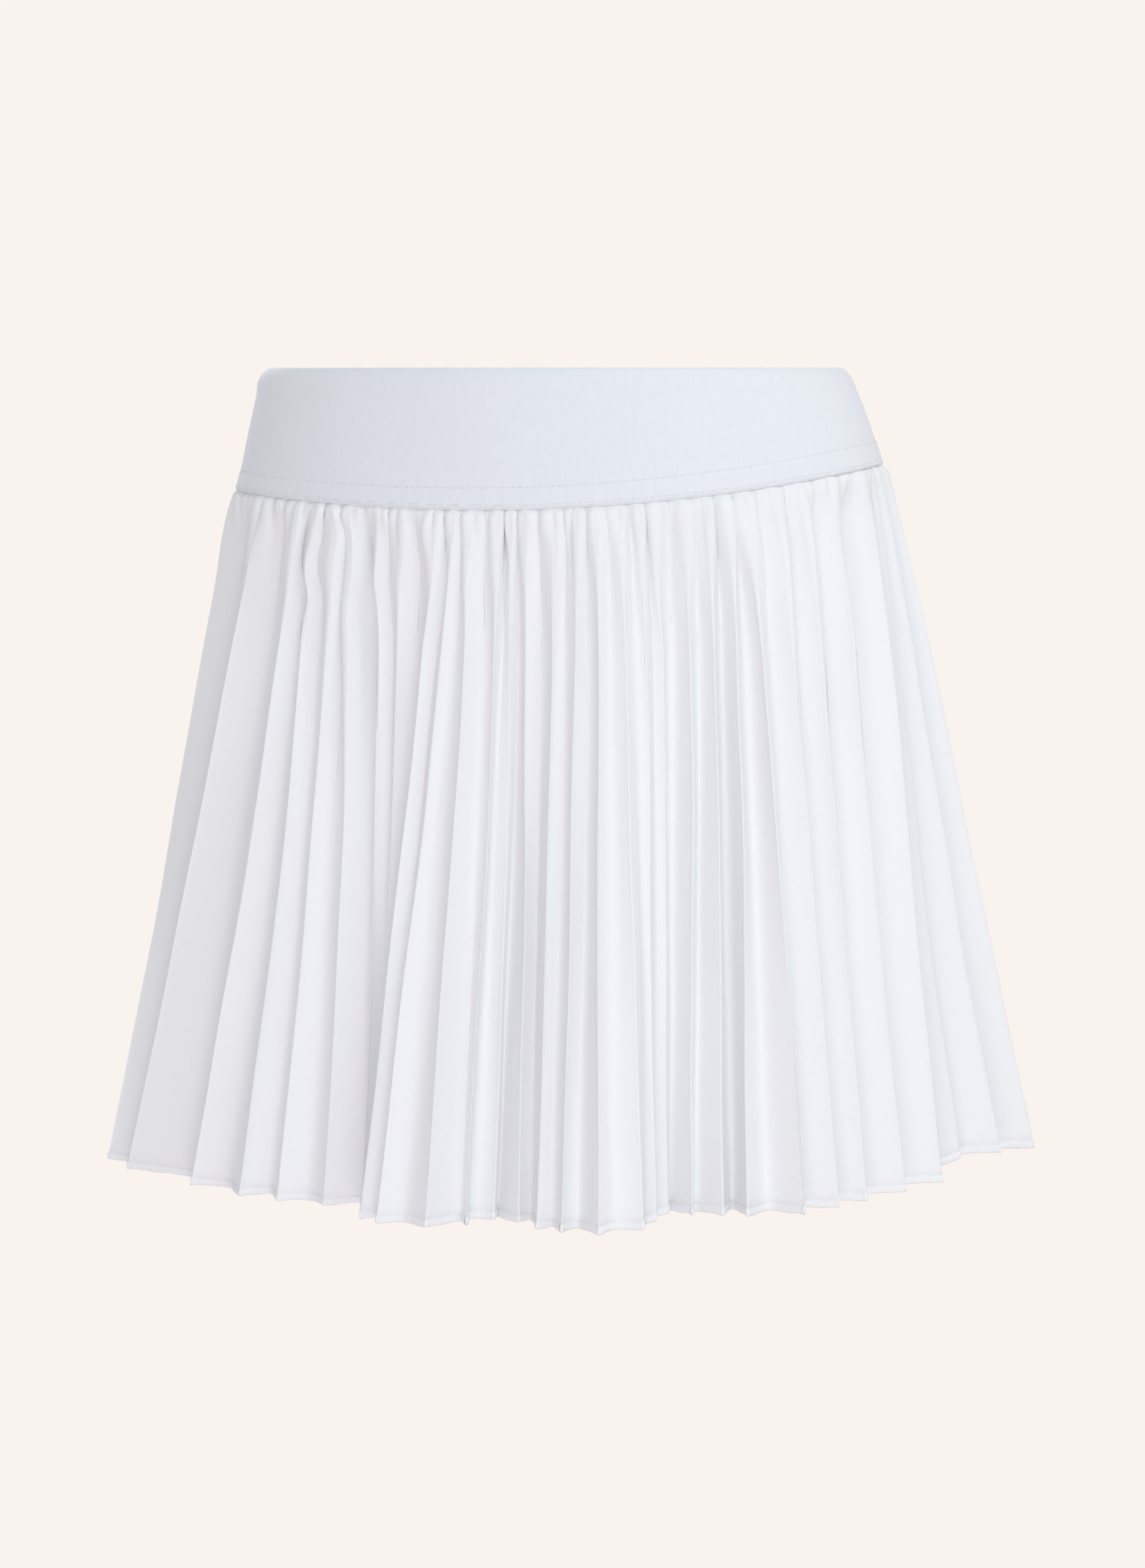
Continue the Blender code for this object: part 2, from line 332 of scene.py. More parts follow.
def smooth_table(table, share):
    """Columns of a table read at the given shares, by cubic curves through its rows.

    Each curve passes a row at a mean of the slopes on its two sides, weighted to the nearer row.
    """
    rows = np.array(table, float)
    place, values = rows[:, 0], rows[:, 1:]
    slope = np.gradient(values, place, axis=0)
    share = np.clip(share, place[0], place[-1])
    low = np.clip(np.searchsorted(place, share, side="right") - 1, 0, len(place) - 2)
    span = place[low + 1] - place[low]
    step = ((share - place[low]) / span)[:, None]
    span = span[:, None]
    return (
        (2 * step**3 - 3 * step**2 + 1) * values[low]
        + (step**3 - 2 * step**2 + step) * span * slope[low]
        + (3 * step**2 - 2 * step**3) * values[low + 1]
        + (step**3 - step**2) * span * slope[low + 1]
    )


def ease(value, start, end):
    """0 before start, 1 past end, and a smooth S between them."""
    step = np.clip((value - start) / (end - start), 0.0, 1.0)
    return step * step * (3.0 - 2.0 * step)


def ripple(value, pitch, seed):
    """Uneven waves of about the given pitch, from -1 to 1: three sines of unlike lengths."""
    turn = 2.0 * np.pi * value / pitch
    return (
        0.60 * np.sin(turn + 1.7 * seed)
        + 0.28 * np.sin(1.63 * turn + 2.9 * seed + 1.1)
        + 0.12 * np.sin(2.71 * turn + 0.6 * seed + 2.3)
    )


def band_bottom(angle):
    """Height of the waist seam.

    It is lowest where the waistband dips, front and back, by a cosine squared, and rises to the
    right by a sine.
    """
    dip = np.cos(angle - np.radians(BAND_DIP_ANGLE)) ** 2
    depth = BAND_SIDE_DEPTH + BAND_FRONT_DIP * dip - BAND_TILT * np.sin(angle)
    return RIM_HEIGHT - depth


def hem_height(angle, place, point):
    """Height of the hem: a tilted plane, with a dip front and back and a hitch on the right."""
    start, full, fade, gone = HITCH_PLACES
    hitch = HEM_HITCH * ease(place, start, full) * (1.0 - ease(place, fade, gone))
    rise = HEM_RISE_X * point[..., 0] + HEM_RISE_Y * point[..., 1] + hitch
    return HEM_HEIGHT - HEM_DIP * np.cos(angle) ** 2 + rise


def all_pleats():
    """The charted pleats and then the back's, as rows like those of PLEATS, in order round, and
    the girth along the waist seam.

    Back pleats share the rest of the girth evenly, then shift, rise and sink by slow waves, so
    that no two are quite alike.
    """
    waist_girth = girth(SKIRT_SECTIONS[0][1:6])
    hem_girth = girth(SKIRT_SECTIONS[-1][1:6])
    first, last = PLEATS[0], PLEATS[-1]
    waist_pitch = (first[0] + waist_girth - last[0]) / (BACK_PLEATS + 1)
    hem_pitch = (first[1] + hem_girth - last[1]) / (BACK_PLEATS + 1)
    rows = list(PLEATS)
    for number in range(1, BACK_PLEATS + 1):
        edge = np.sin(np.pi * number / (BACK_PLEATS + 1))
        shift = 2.6 * edge * np.sin(2.1 * number)
        swell = 7.0 * edge * np.sin(0.62 * number + 0.8)
        ridge = last[1] + hem_pitch * number + shift
        lift = -7.0 + swell + 3.0 * np.sin(1.7 * number)
        valley = ridge + 4.5 + 2.5 * np.cos(2.9 * number)
        sink = lift - 13.0 - 3.0 * np.cos(1.3 * number)
        rows.append((last[0] + waist_pitch * number, ridge, lift, valley, sink))
    return rows, waist_girth


def fold_lines():
    """Rows for ridges and valleys by turns, and the girth along the waist seam.

    A row gives the fold's place at the waist and at the hem, and its height over the oval at
    each.  Each valley is sewn in halfway to the next ridge.
    """
    rows, waist_girth = all_pleats()
    waists = [row[0] for row in rows] + [rows[0][0] + waist_girth]
    folds = []
    for number, (waist, hem, lift, valley, sink) in enumerate(rows):
        folds.append((waist, hem, 0.0, lift))
        folds.append((0.5 * (waist + waists[number + 1]), valley, -WAIST_TUCK / MM, sink))
    return np.array(folds), waist_girth


def fold_curves(falls):
    """Points of every fold at every fall from the waist seam (0) to the hem (1).

    A fold's angle goes from its place at the waist to its place at the hem, and on the way it
    wavers a little and sways where SWAYS says.  Its height over the oval goes from the waist's
    to the hem's, and valleys are drawn in further near the waist seam.
    """
    folds, waist_girth = fold_lines()
    waist_angle = angles_at(folds[:, 0], SKIRT_SECTIONS[0][1:6])
    hem_angle = angles_at(folds[:, 1], SKIRT_SECTIONS[-1][1:6])
    left, right, front, back, pull, spread, depth = smooth_table(SKIRT_SECTIONS, falls).T
    number = np.arange(len(folds))
    free = (ease(falls, 0.05, 0.4) * (1.0 - 0.6 * ease(falls, 0.7, 1.0)))[:, None]
    waver = 0.0042 * ripple(falls[:, None] + 0.31 * number, 0.9, 0.37 * number) * free
    drops = falls[:, None] * SKIRT_LENGTH / MM
    for row, drop, reach, shift in SWAYS:
        near = np.exp(-(((drops - drop) / reach) ** 2)) * ease(drops, 0.0, 12.0)
        waver = waver + near * np.where(number // 2 == row, shift, 0.0) * MM / BAND_RADIUS
    angle = waist_angle + (hem_angle - waist_angle) * spread[:, None] + waver
    sewn = folds[:, 2] * (0.35 + 0.65 * ease(drops, 0.0, 14.0))
    # the wider a pleat is sewn in, the further its valley is drawn in over the upper half
    pitch = np.roll(folds[:, 0], -1) - np.roll(folds[:, 0], 1)
    steep = -np.clip(0.15 * np.abs(pitch), 0.4, 3.6) * (number % 2)
    steep = steep * ease(drops, 2.0, 18.0) * (1.0 - ease(drops, 50.0, 150.0))
    height = sewn + (folds[:, 3] - sewn) * depth[:, None] + steep
    height = height + 0.7 * ripple(falls[:, None] + 0.17 * number, 0.7, number) * free
    sizes = [size[:, None] * MM for size in (left, right, front, back)] + [pull[:, None]]
    plan = oval(angle, *sizes) + outward(angle, *sizes) * height[..., None] * MM
    top = band_bottom(angle)
    z = top + (hem_height(angle, folds[:, 1], plan) - top) * falls[:, None]
    return np.concatenate([plan, z[..., None]], axis=-1), folds[:, 0], waist_girth


def crease_push(place, drop, waist_girth):
    """Height of the soft bulges and dents: each is a bell curve across and along its run."""
    push = np.zeros(np.broadcast(place, drop).shape)
    for at, down, wide, long, lean, height in CREASES:
        across = place - at - lean * (drop - down)
        across = (across + 0.5 * waist_girth) % waist_girth - 0.5 * waist_girth
        push += height * np.exp(-((across / wide) ** 2) - ((drop - down) / long) ** 2)
    return push * MM


def all_nips(waist_girth):
    """Places of the nips in order round, the last one a full turn past the first."""
    gap = NIPS[0] + waist_girth - NIPS[-1]
    count = int(round(gap / BACK_NIP_PITCH))
    number = np.arange(1, count)
    back = NIPS[-1] + gap * (number + 0.32 * np.sin(2.3 * number)) / count
    return np.concatenate([NIPS, back, [NIPS[0] + waist_girth]])


def gathers(place, down, waist_girth, settings):
    """Height of the gathers that the waist seam takes up.

    Across, each is a cushion: a half sine from nip to nip to the power 0.7.  It swells just
    under the seam and then fades, each at its own length.
    """
    nips = all_nips(waist_girth)
    spot = (place - nips[0]) % waist_girth + nips[0]
    number = np.clip(np.searchsorted(nips, spot, side="right") - 1, 0, len(nips) - 2)
    wide = nips[number + 1] - nips[number]
    cushion = np.sin(np.pi * np.clip((spot - nips[number]) / wide, 0.0, 1.0)) ** 0.7 - 0.55
    tall = settings.gather * np.clip(wide / 7.0, 0.6, 1.35) * (1.0 + 0.3 * np.sin(3.7 * number))
    long = 9.0 + 13.0 * (1.0 + np.sin(5.1 * number + 0.8))
    swell = np.exp(-((down / long) ** 2)) * (0.25 + 0.75 * ease(down, 0.1, 1.8))
    return tall * cushion * swell


def panel(before, start, end, after, share, creases):
    """Cloth between two folds, with each fold rounded.

    A point at a share of the way runs straight from fold to fold.  Within the crease's radius r
    of a fold, at distance d, it is the fold moved by r(1-d/r)^2/4 along the neighbouring panel
    and by r(1+d/r)^2/4 along its own, which is a parabola that leaves both panels smoothly.
    """
    own, length = unit(end - start)
    ahead, ahead_length = unit(after - end)
    behind, behind_length = unit(before - start)
    points = start[:, None] + own[:, None] * (length * share)[..., None]
    first = np.minimum(creases[0], 0.46 * np.minimum(length, behind_length))
    last = np.minimum(creases[1], 0.46 * np.minimum(length, ahead_length))
    sides = ((start, own, behind, first, share), (end, -own, ahead, last, 1.0 - share))
    for corner, along, beyond, radius, away in sides:
        ratio = length * away / radius
        turn = (radius * (1.0 - ratio) ** 2 / 4.0)[..., None] * beyond[:, None]
        turn = turn + (radius * (1.0 + ratio) ** 2 / 4.0)[..., None] * along[:, None]
        points = np.where(ratio[..., None] < 1.0, corner[:, None] + turn, points)
    return points, own


def panel_shares(waist_length, hem_length):
    """Shares across a panel, close together near its folds, where the cloth turns.

    They are the mean of a half cosine and of even steps less one sine wave.  There are at least
    9, and enough that they are on average 1.25 mm apart at the waist seam and 2.4 mm at the hem.
    """
    count = int(max(9, np.ceil(waist_length / 1.25), np.ceil(hem_length / 2.4)))
    step = np.arange(count) / count
    even = 0.5 - 0.5 * np.cos(np.pi * step)
    tight = step - np.sin(2.0 * np.pi * step) / (2.0 * np.pi)
    return 0.5 * (even + tight)


def standing_out(fold, fall, place, share, down, off_ridge, waist_girth, settings):
    """How far the cloth between two folds stands off its straight run.

    It is a sum: a bow and a puff, both parabolas from fold to fold, the small gathers, the
    creases, a swell just under the waistband and a bead along the ridge.  The bow waxes and
    wanes down the pleat, the puff and the swell fade as bell curves, and the bead is a bell
    curve across.
    """
    arch = 4.0 * share * (1.0 - share)
    bow = settings.bow * ripple(fall * 0.6 + 0.43 * fold, 1.0, fold) * ease(fall, 0.0, 0.3)
    puff = settings.puff * np.exp(-((down / 38.0) ** 2)) * ease(down, 0.0, 4.0)
    push = (bow + puff) * arch + gathers(place, down, waist_girth, settings)
    push = push + crease_push(place[None], down, waist_girth) * ease(down, 0.0, 5.0)
    push = push + settings.swell * ease(down, -0.2, 1.8) * np.exp(-((down / 30.0) ** 2))
    bead = settings.edge * np.exp(-((off_ridge / EDGE_BEAD) ** 2))
    return push + bead * ease(down, 1.0, 8.0)


def pleated_cloth(side, settings):
    """Grid of points of one skirt panel, with its cloth coordinates.

    Columns run across every pleat in turn, half a pleat at each side seam, and rows run from
    inside the waistband to the hem.  Each point is on its panel, moved out by standing_out.
    """
    # rows are closer near the waist seam, and a first one stands 1 mm up inside the waistband
    steps = np.linspace(0.0, 1.0, settings.rows)
    falls = np.concatenate([[-0.004], 0.22 * steps + 0.78 * steps**2])
    curves, waists, waist_girth = fold_curves(np.clip(falls, 0.0, 1.0))
    curves[0, :, 2] += 1.0 * MM
    count = curves.shape[1]
    right = 2 * RIGHT_SEAM_PLEAT
    left = 2 * (len(PLEATS) + BACK_PLEATS - LEFT_SEAM_FROM_END)
    first, last = (left - 1 - count, right) if side == "front" else (right - 1, left)
    length = np.linalg.norm(np.diff(curves[[1, -1]], axis=1, append=curves[[1, -1], :1]), axis=2)
    drop = np.linalg.norm(curves - curves[1], axis=2) / MM
    # ridges are rounder where the pleats are sewn in and pressed sharp further down, while
    # valleys start as tucks and open out into troughs
    soft = 1.0 - ease(falls, 0.02, 0.25)
    ridge_radius = settings.crease * (0.5 + 0.6 * soft)
    valley_radius = settings.trough * (1.0 - 0.85 * soft)
    radii = (ridge_radius[:, None], valley_radius[:, None])
    pieces, places, runs, start_run = [], [], [], 0.0
    for number in range(first, last):
        now, then = number % count, (number + 1) % count
        share = panel_shares(length[0, now] / MM, length[1, now] / MM)
        if number == first:
            share = np.concatenate([[0.5], share[share > 0.52]])
        if number == last - 1:
            share = np.concatenate([share[share < 0.48], [0.5]])
        points, own = panel(
            curves[:, now - 1], curves[:, now], curves[:, then],
            curves[:, (number + 2) % count], share, (radii[now % 2], radii[then % 2]))
        facing = np.stack([own[:, 1], -own[:, 0], 0.0 * own[:, 0]], axis=-1)
        place = waists[now] + ((waists[then] - waists[now]) % waist_girth) * share
        wide = np.linalg.norm(curves[:, then] - curves[:, now], axis=1)[:, None] / MM
        off_ridge = wide * (share if now % 2 == 0 else 1.0 - share)
        push = standing_out(
            now, falls[:, None], place, share, drop[:, now, None], off_ridge, waist_girth,
            settings)
        pieces.append(points + facing[:, None] * push[..., None])
        places.append(place)
        runs.append(start_run + length[1, now] * share)
        start_run += length[1, now]
    grid = np.concatenate(pieces, axis=1)
    across, down = np.concatenate(runs)[None], run_along(grid[:, 0])[:, None]
    return grid, stacked(across, -down)


# ---------------- meshes


def add_piece(name, points, faces, uv, material):
    """Object of the given points and faces, with a place on the UV map, in metres, per point."""
    mesh = bpy.data.meshes.new(name)
    mesh.from_pydata(points.reshape(-1, 3), [], faces)
    loops = np.zeros(len(mesh.loops), np.int32)
    mesh.loops.foreach_get("vertex_index", loops)
    layer = mesh.uv_layers.new(name="cloth")
    layer.data.foreach_set("uv", uv.reshape(-1, 2)[loops].astype(np.float32).ravel())
    mesh.materials.append(material)
    mesh.shade_smooth()
    mesh.update()
    piece = bpy.data.objects.new(name, mesh)
    bpy.context.scene.collection.objects.link(piece)
    return piece


def add_surface(name, grid, uv, material, around=False, wall=0.0):
    """Piece with one face for each cell of the grid.

    With around, the last row joins the first, which closes a tube.  A wall is added inwards.
    """
    rows, columns = grid.shape[:2]
    index = np.arange(rows * columns).reshape(rows, columns)
    below = np.roll(index, -1, axis=0) if around else index[1:]
    above = index if around else index[:-1]
    faces = np.stack([above[:, :-1], below[:, :-1], below[:, 1:], above[:, 1:]], axis=-1)
    piece = add_piece(name, grid, faces.reshape(-1, 4).tolist(), uv, material)
    if wall:
        solidify = piece.modifiers.new("wall", "SOLIDIFY")
        solidify.thickness = wall
        solidify.offset = -1.0
        solidify.use_quality_normals = True
    return piece


def close_ends(grid):
    """The grid of a tube with its first and last columns gathered to their centres."""
    ends = [grid[:, :1].mean(axis=0, keepdims=True), grid[:, -1:].mean(axis=0, keepdims=True)]
    ends = [np.repeat(end, len(grid), axis=0) for end in ends]
    return np.concatenate([ends[0], grid, ends[1]], axis=1)


# ---------------- materials


def new_material(name, colour, roughness, sheen):
    """A cloth material, with its node tree and its shader."""
    material = bpy.data.materials.new(name)
    material.use_nodes = True
    tree = material.node_tree
    shader = tree.nodes["Principled BSDF"]
    shader.inputs["Base Color"].default_value = (*colour, 1.0)
    shader.inputs["Roughness"].default_value = roughness
    shader.inputs["Sheen Weight"].default_value = sheen
    shader.inputs["Sheen Roughness"].default_value = 0.5
    shader.inputs["Specular IOR Level"].default_value = 0.25
    return material, tree, shader


def scaled_uv(tree, repeats):
    """Cloth coordinates times the given number of repeats per metre across and down."""
    source = tree.nodes.new("ShaderNodeUVMap")
    source.uv_map = "cloth"
    mapping = tree.nodes.new("ShaderNodeMapping")
    mapping.inputs["Scale"].default_value = (*repeats, 1.0)
    tree.links.new(source.outputs["UV"], mapping.inputs["Vector"])
    return mapping.outputs["Vector"]


def noise(tree, repeats, detail):
    """Soft blotches, about one for each repeat."""
    texture = tree.nodes.new("ShaderNodeTexNoise")
    texture.noise_dimensions = "2D"
    texture.inputs["Scale"].default_value = 1.0
    texture.inputs["Detail"].default_value = detail
    tree.links.new(scaled_uv(tree, repeats), texture.inputs["Vector"])
    return texture.outputs["Fac"]


def threads(tree, repeats, direction):
    """Rounded threads side by side across the given direction, one for each repeat."""
    one_band_each = 0.31416
    texture = tree.nodes.new("ShaderNodeTexWave")
    texture.wave_type = "BANDS"
    texture.bands_direction = direction
    texture.inputs["Scale"].default_value = one_band_each
    texture.inputs["Distortion"].default_value = 0.0
    tree.links.new(scaled_uv(tree, repeats), texture.inputs["Vector"])
    return texture.outputs["Fac"]


def maths(tree, operation, first, second):
    """The sum or product of two values, each a socket or a number."""
    node = tree.nodes.new("ShaderNodeMath")
    node.operation = operation
    for socket, value in zip(node.inputs, (first, second)):
        if isinstance(value, (int, float)):
            socket.default_value = value
        else:
            tree.links.new(value, socket)
    return node.outputs[0]


def tint(tree, shader, factor, colour, darkest):
    """Base colour that goes from a darker share of the colour to the whole of it."""
    ramp = tree.nodes.new("ShaderNodeValToRGB")
    low, high = ramp.color_ramp.elements
    low.color = (*(channel * darkest for channel in colour), 1.0)
    high.color = (*colour, 1.0)
    low.position, high.position = 0.30, 0.70
    tree.links.new(factor, ramp.inputs["Fac"])
    tree.links.new(ramp.outputs["Color"], shader.inputs["Base Color"])


def bump(tree, shader, height, distance):
    """Relief of the given depth in metres."""
    node = tree.nodes.new("ShaderNodeBump")
    node.inputs["Strength"].default_value = 1.0
    node.inputs["Distance"].default_value = distance
    tree.links.new(height, node.inputs["Height"])
    tree.links.new(node.outputs["Normal"], shader.inputs["Normal"])


def woven_cloth(colour):
    """Plain weave with slubs: fine threads both ways, and longer thick ones running across."""
    material, tree, shader = new_material("pleated_weave_cloth", colour, 0.82, 0.15)
    across = threads(tree, (2300, 2300), "X")
    down = threads(tree, (2300, 2300), "Y")
    slubs = noise(tree, (260, 2300), 3.0)
    warp = noise(tree, (1700, 90), 2.0)
    weave = maths(tree, "MULTIPLY", across, down)
    coarse = maths(tree, "ADD", slubs, maths(tree, "MULTIPLY", warp, 0.6))
    height = maths(tree, "ADD", maths(tree, "MULTIPLY", weave, 0.35), coarse)
    bump(tree, shader, height, 0.000045)
    tint(tree, shader, slubs, colour, 0.985)
    return material


def elastic_knit(colour):
    """Fine rib knit: narrow upright wales crossed by courses, with a soft unevenness."""
    material, tree, shader = new_material("elastic_knit_cloth", colour, 0.62, 0.25)
    wales = threads(tree, (1250, 1250), "X")
    courses = threads(tree, (1650, 1650), "Y")
    uneven = noise(tree, (420, 160), 3.0)
    loops = maths(tree, "MULTIPLY", wales, maths(tree, "ADD", courses, 0.6))
    height = maths(tree, "ADD", maths(tree, "MULTIPLY", loops, 0.3), uneven)
    bump(tree, shader, height, 0.00007)
    tint(tree, shader, uneven, colour, 0.98)
    return material


def sewing_thread(colour):
    """Twisted polyester thread, a little glossier than the cloth."""
    material, tree, shader = new_material("sewing_thread", colour, 0.48, 0.1)
    twist = threads(tree, (4200, 2600), "DIAGONAL")
    fuzz = noise(tree, (3000, 3000), 2.0)
    bump(tree, shader, maths(tree, "ADD", twist, fuzz), 0.00005)
    tint(tree, shader, fuzz, colour, 0.96)
    return material


def shared_material(name, make, colour):
    """The material of that name, made first if need be."""
    return bpy.data.materials.get(name) or make(tuple(colour))


def finish_piece(piece, slot, *nodes):
    """Rides the piece on the skirt's one body, in its nodes' place; the material slot is not used.
    """
    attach(piece, "root")
    if nodes:
        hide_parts(*nodes)


# ---------------- waistband


def strip_height(angle, settings):
    """The stitched strip is a little taller on the right."""
    return settings.strip * (1.0 + 0.1 * np.sin(angle))


def band_angles(side, count):
    """Even angles from side seam to side seam, and one more close to each end.

    The close ones keep a cut end from rounding the shading beside it.
    """
    seam = np.radians(SIDE_SEAM_ANGLE)
    low, high = (-seam, seam) if side == "front" else (seam, 2.0 * np.pi - seam)
    close = 0.0004
    return np.concatenate([[low], np.linspace(low + close, high - close, count), [high]])


def band_points(angle, down, lift):
    """Points of the waistband: down is the depth under the rim and lift the height over the
    oval section there, both in metres."""
    depth = RIM_HEIGHT - band_bottom(angle)
    share = np.clip(down / depth, 0.0, 1.0)
    flat = smooth_table(BAND_SECTIONS, share.ravel()) * MM
    left, right, front, back = (column.reshape(share.shape) for column in flat.T)
    wide = np.broadcast_to(angle, share.shape)
    zero = np.zeros(share.shape)
    plan = oval(wide, left, right, front, back, zero)
    plan = plan + outward(wide, left, right, front, back, zero) * lift[..., None]
    return np.concatenate([plan, (RIM_HEIGHT - down)[..., None]], axis=-1)


def band_lift(angle, down, settings):
    """How far the outside stands off the oval.

    The strip is proud of the rest by a smooth step, each line of stitches lies in a groove, a
    bell curve across, and the elastic puckers and sways the cloth in uneven waves.
    """
    up = (RIM_HEIGHT - band_bottom(angle) - down) / MM
    strip = strip_height(angle, settings) / MM
    reach = angle * BAND_RADIUS / MM
    proud = 0.22 * (1.0 - ease(up, strip - 1.6, strip + 1.2))
    groove = -0.08 * np.exp(-(((up - strip) / 0.7) ** 2))
    edge_groove = -0.08 * np.exp(-(((up - EDGE_STITCH_HEIGHT / MM) / 0.6) ** 2))
    pucker = 0.10 * ripple(reach, 6.5, 1.0) * np.exp(-(((up - strip) / 5.0) ** 2))
    pucker += 0.16 * ripple(reach, 8.3, 2.0) * np.exp(-((up / 5.5) ** 2))
    sway = 0.35 * ripple(reach + 0.4 * up, 95.0, 4.0) * ease(up, 6.0, 20.0)
    # both halves lie flat where they meet, at the side seams
    seam = np.radians(SIDE_SEAM_ANGLE)
    for place in (-seam, seam, 2.0 * np.pi - seam):
        flat = 1.0 - np.exp(-(((angle - place) / 0.12) ** 2))
        pucker, sway = pucker * flat, sway * flat
    return (proud + groove + edge_groove + pucker + sway) * MM


def waistband(side, settings):
    """Half the waistband as a closed tube, and its cloth coordinates.

    The rows go up the outside, round the rim, down the inside and round the lower edge, and are
    then put the other way round, which turns the faces outwards.  The rim and the lower edge are
    half circles as thick as the wall.
    """
    angle = band_angles(side, 260)[None]
    half = settings.wall / 2.0
    depth = RIM_HEIGHT - band_bottom(angle)
    # the strip and its upper stitches have closer rows than the rest of the outside
    strip = strip_height(angle, settings) + 1.4 * MM
    down_low = depth - half - (strip - half) * (1.0 - np.linspace(1.0, 0.0, 22)[:, None])
    down_high = half + (depth - strip - half) * np.linspace(1.0, 0.0, 58)[1:, None]
    down_outer = np.concatenate([down_low, down_high])
    turn = np.linspace(0.0, np.pi, TURN_ROWS + 2)[1:-1, None]
    down_inner = half + (depth - 2.0 * half) * np.linspace(0.0, 1.0, INSIDE_ROWS)[:, None]
    lift_outer = band_lift(angle, down_outer, settings)
    rim_lift, low_lift = lift_outer[-1:], lift_outer[:1]
    down = np.concatenate([
        down_outer, half - half * np.sin(turn) + 0.0 * angle, down_inner,
        depth - half + half * np.sin(turn)])
    lift = np.concatenate([
        lift_outer, rim_lift - half + half * np.cos(turn),
        -settings.wall + 0.0 * down_inner, low_lift - half - half * np.cos(turn)])
    points = band_points(angle, np.clip(down, 0.0, None), lift)
    # each end is closed by faces that run to the middle of the wall
    middle = band_points(
        angle[:, [0, -1]], np.clip(down, half, depth - half)[:, [0, -1]],
        -half + 0.0 * down[:, [0, -1]])
    points = np.concatenate([middle[:, :1], points, middle[:, 1:]], axis=1)
    tall = run_along(points[:, 1])
    uv = stacked(angle * BAND_RADIUS, -tall[:, None])
    uv = np.concatenate([uv[:, :1], uv, uv[:, -1:]], axis=1)
    return points[::-1], uv[::-1]


class SKIRT_OT_add_waistband(bpy.types.Operator):
    """Adds the two halves of the elastic waistband"""

    bl_idname = "skirt.add_waistband"
    bl_label = "Add Waistband"

    def execute(self, context):
        settings = context.scene.skirt_band
        knit = shared_material("elastic_knit_cloth", elastic_knit, settings.colour)
        for side in ("front", "back"):
            points, uv = waistband(side, settings)
            piece = add_surface("band_" + side + "_knit", points, uv, knit, around=True)
            finish_piece(piece, "elastic_knit", "waistband_" + side)
        return {"FINISHED"}


def stitch_line(up, settings):
    """One line of topstitches all round, as one grid of points per stitch.

    A stitch is a tube whose height follows a half sine along it, so that both its ends dive into
    the cloth, and whose radius follows the root of that.
    """
    count = int(WAIST_SEAM_GIRTH / settings.stitch)
    middle = 2.0 * np.pi * (np.arange(count) + 0.5) / count
    along = np.linspace(-1.0, 1.0, 7)[None, :, None]
    turn = (2.0 * np.pi * np.arange(6) / 6)[None, None, :]
    half_stitch = 0.42 * 2.0 * np.pi / count
    angle = middle[:, None, None] + along * half_stitch + 0.0 * turn
    arch = np.cos(0.5 * np.pi * along * 0.98)
    radius = settings.thread / 2.0 * np.sqrt(arch)
    height = up(angle, settings)
    down = RIM_HEIGHT - band_bottom(angle) - height
    lift = band_lift(angle, down, settings) + settings.thread * (0.36 * arch - 0.18)
    return band_points(angle, down + radius * np.sin(turn), lift + radius * np.cos(turn))


def add_stitches(name, lines, material):
    """Joins all stitches of the given lines into one object, each a closed little tube."""
    grids = np.concatenate(lines)
    count, along, around = grids.shape[:3]
    index = np.arange(count * along * around).reshape(count, along, around)
    turned = np.roll(index, -1, axis=2)
    faces = np.stack([index[:, :-1], index[:, 1:], turned[:, 1:], turned[:, :-1]], axis=-1)
    caps = np.concatenate([index[:, 0], index[:, -1, ::-1]])
    faces = faces.reshape(-1, 4).tolist() + caps.tolist()
    # each stitch has its own stretch of thread on the UV map
    long, stretch, girth_of_thread = 0.0025, 0.003, 0.0011
    start = stretch * np.arange(count)[:, None, None]
    uv = stacked(
        np.linspace(0.0, long, along)[None, :, None] + start,
        np.linspace(0.0, girth_of_thread, around)[None, None])
    return add_piece(name, grids, faces, uv, material)


class SKIRT_OT_add_stitches(bpy.types.Operator):
    """Adds the two lines of topstitching round the waistband"""

    bl_idname = "skirt.add_stitches"
    bl_label = "Add Topstitching"

    def execute(self, context):
        settings = context.scene.skirt_band
        thread = shared_material("sewing_thread", sewing_thread, context.scene.skirt_hem.colour)
        lines = [
            stitch_line(strip_height, settings),
            stitch_line(lambda angle, _: EDGE_STITCH_HEIGHT + 0.0 * angle, settings),
        ]
        piece = add_stitches("band_topstitching", lines, thread)
        finish_piece(piece, "elastic_knit")
        return {"FINISHED"}


# ---------------- pleated panels and hem


class SKIRT_OT_add_pleats(bpy.types.Operator):
    """Adds the pleated front and back"""

    bl_idname = "skirt.add_pleats"
    bl_label = "Add Pleated Panels"

    def execute(self, context):
        settings = context.scene.skirt_pleats
        weave = shared_material("pleated_weave_cloth", woven_cloth, settings.colour)
        for side in ("front", "back"):
            grid, uv = pleated_cloth(side, settings)
            piece = add_surface("pleated_" + side, grid, uv, weave, wall=settings.wall)
            finish_piece(piece, "pleated_weave", "skirt_" + side)
        return {"FINISHED"}


